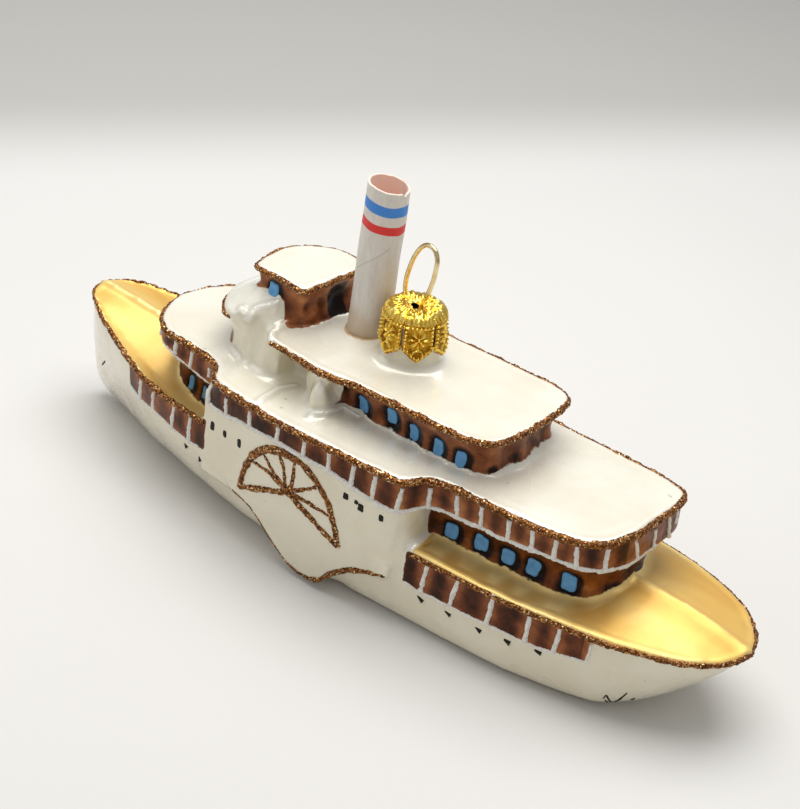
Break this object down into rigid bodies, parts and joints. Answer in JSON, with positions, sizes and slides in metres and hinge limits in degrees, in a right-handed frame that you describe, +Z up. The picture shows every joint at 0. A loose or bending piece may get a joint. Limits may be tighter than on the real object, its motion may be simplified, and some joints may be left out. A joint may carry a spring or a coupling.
{
  "type": "blown glass paddle steamer ornament",
  "caption": "Hand-painted blown glass hanging ornament in the shape of a lake paddle steamer, with a paper funnel and a crown cap with a wire loop.",
  "frame": {"origin": "on the table under the middle of the hull", "axes": "+X to the bow, +Y to port, +Z up"},
  "size_m": [0.1472, 0.0444, 0.0675],
  "materials": {
    "pearl_glass": "blown glass lacquered pearl white, with gold decks and brown, blue and black painting",
    "funnel_paper": "rolled white paper with a painted blue and a red band",
    "amber_glue": "dried amber glue",
    "gilt_cap": "stamped and gilt, embossed",
    "brass_wire": "bright drawn wire",
    "copper_glitter": "copper brown glitter in clear glue",
    "white_relief": "raised white relief paint"
  },
  "bodies": {
    "ornament": {"glass_body": "pearl_glass", "funnel_tube": "funnel_paper", "funnel_glue": "amber_glue", "rim_glitter_bow": "copper_glitter", "rim_glitter_stern": "copper_glitter", "promenade_glitter": "copper_glitter", "upper_roof_glitter": "copper_glitter", "bridge_glitter": "copper_glitter", "wheelhouse_glitter": "copper_glitter", "wheel_fan_port": "copper_glitter", "wheel_fan_starboard": "copper_glitter", "box_line_port": "copper_glitter", "box_line_starboard": "copper_glitter", "relief_rail_port": "white_relief", "relief_rail_starboard": "white_relief"},
    "hanger": {"hanger_cap": "gilt_cap", "hanger_wire": "brass_wire"}
  },
  "joints": [
    {"name": "hanger_lift", "type": "slide", "parent": "ornament", "child": "hanger", "axis": [0, 0, 1], "range_m": [0, 0.02]}
  ]
}
